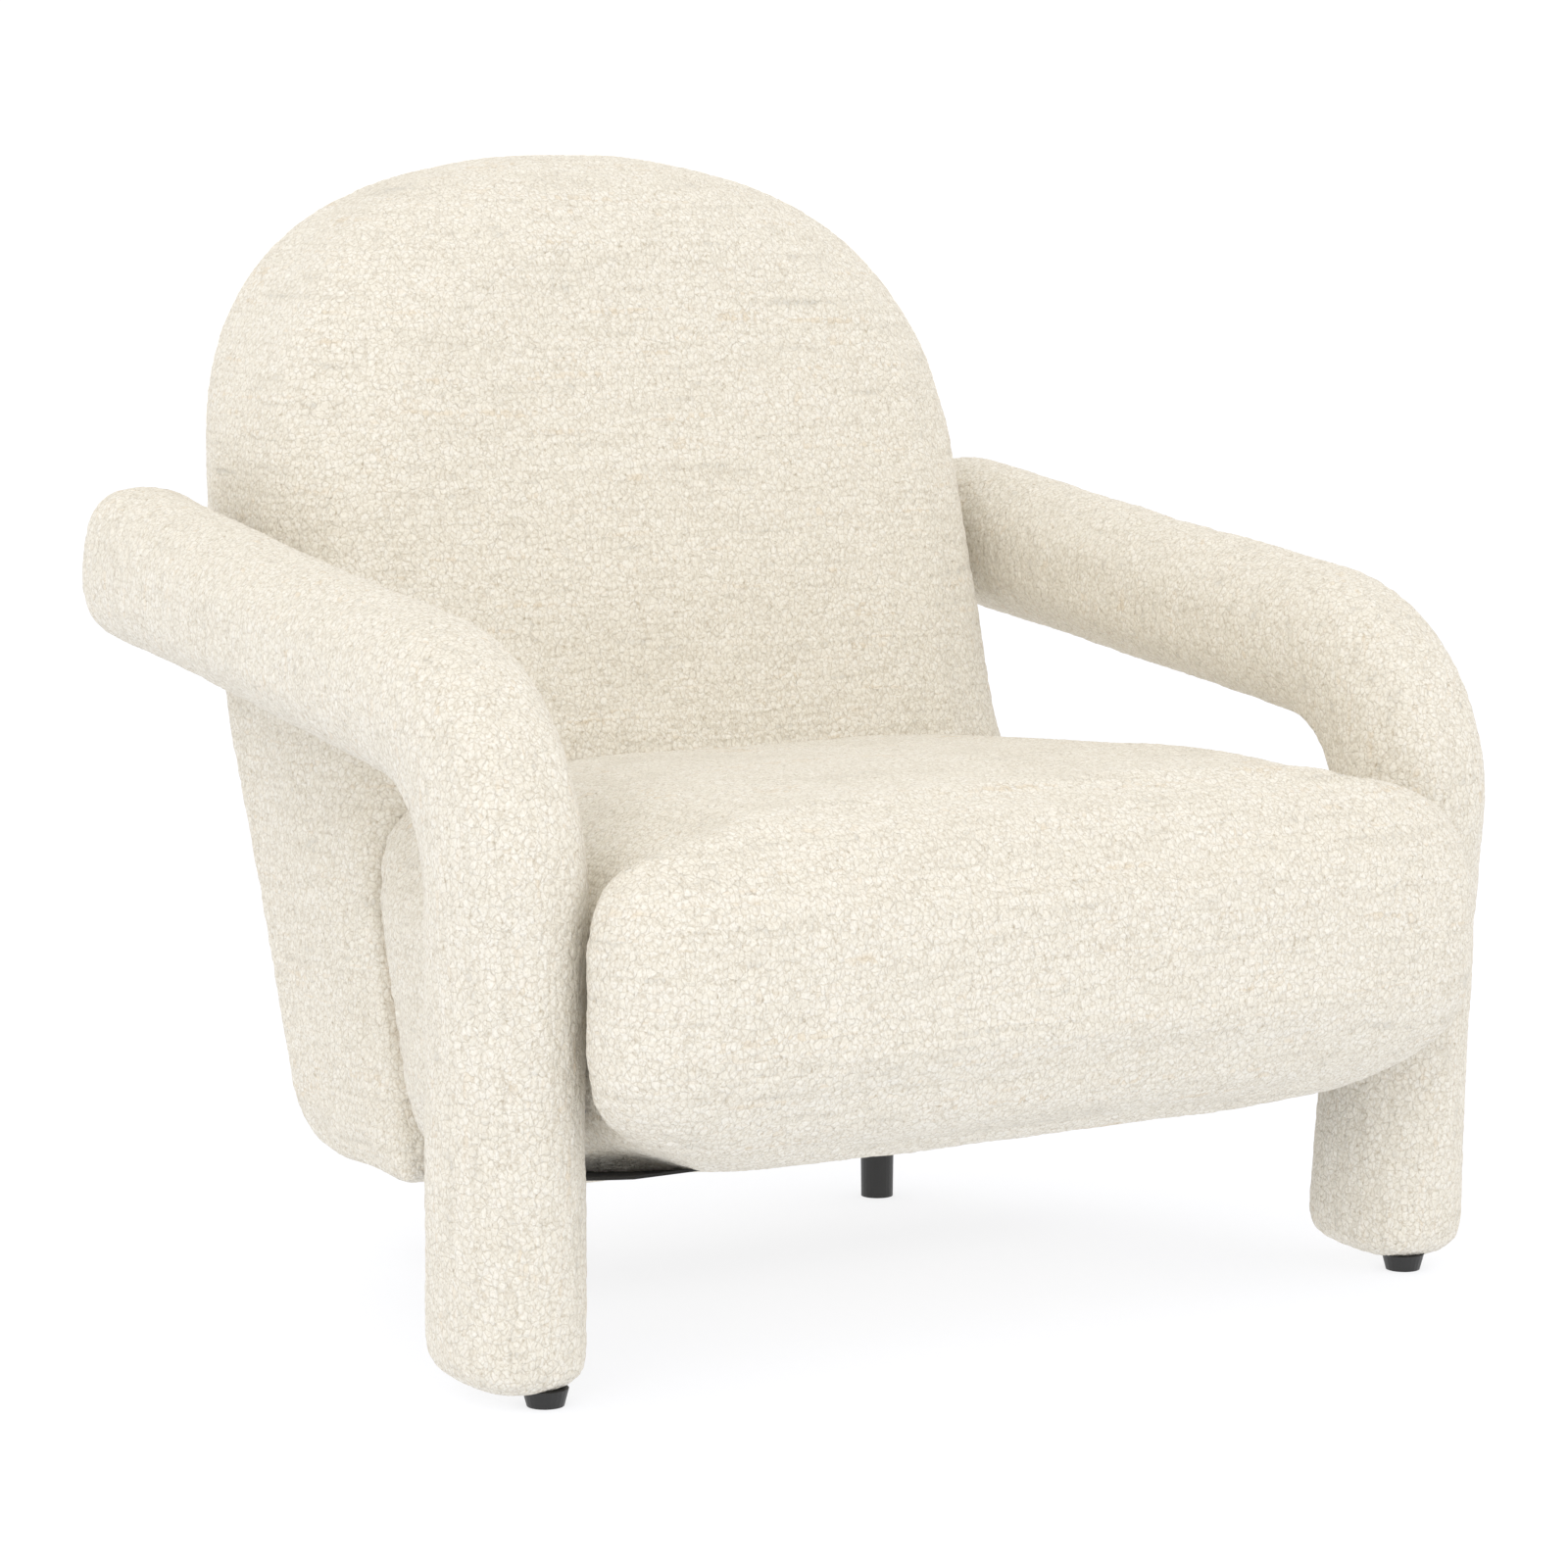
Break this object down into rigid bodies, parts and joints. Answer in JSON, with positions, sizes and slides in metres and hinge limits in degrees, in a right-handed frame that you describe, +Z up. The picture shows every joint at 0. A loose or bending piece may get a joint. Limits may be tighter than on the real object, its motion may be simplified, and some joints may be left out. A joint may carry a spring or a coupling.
{
  "type": "upholstered armchair",
  "caption": "Low lounge chair in boucle fabric: arched thick back, wide bullnose seat, and padded tubes that each form a front leg and an arm, on small black feet.",
  "frame": {"origin": "on the floor, in the middle of the chair's width and depth", "axes": "+X is to the right for someone facing the chair, +Y is towards its back, +Z is up; the chair faces -Y"},
  "size_m": [0.8812, 0.827, 0.8315],
  "materials": {
    "boucle": "matte",
    "foam": "matte",
    "timber": "matte",
    "steel": "satin",
    "felt": "matte",
    "webbing": "matte",
    "black_cloth": "matte",
    "black_plastic": "satin"
  },
  "bodies": {
    "root": {"seat_cover": "boucle", "back_cover": "boucle", "arm_cover_left": "boucle", "arm_cover_right": "boucle", "seat_foam": "foam", "back_foam": "foam", "arm_foam_left": "foam", "arm_foam_right": "foam", "arm_core_left": "steel", "arm_core_right": "steel", "arm_bolt_1_left": "steel", "arm_bolt_2_left": "steel", "arm_bolt_1_right": "steel", "arm_bolt_2_right": "steel", "leg_end_board_left": "timber", "leg_end_board_right": "timber", "front_glide_left": "black_plastic", "front_glide_right": "black_plastic", "rear_foot_left": "black_plastic", "rear_foot_right": "black_plastic", "foot_block_left": "timber", "foot_block_right": "timber", "front_rail": "timber", "rear_rail": "timber", "side_rail_left": "timber", "side_rail_right": "timber", "corner_block_front_left": "timber", "corner_block_front_right": "timber", "corner_block_rear_left": "timber", "corner_block_rear_right": "timber", "back_post_left": "timber", "back_post_right": "timber", "back_top_board": "timber", "back_cross_rail_lower": "timber", "back_cross_rail_upper": "timber", "back_strap_1": "webbing", "back_strap_2": "webbing", "back_strap_3": "webbing", "seat_spring_1": "steel", "seat_spring_2": "steel", "seat_spring_3": "steel", "seat_spring_4": "steel", "spring_felt": "felt", "dust_cover": "black_cloth"}
  },
  "joints": []
}
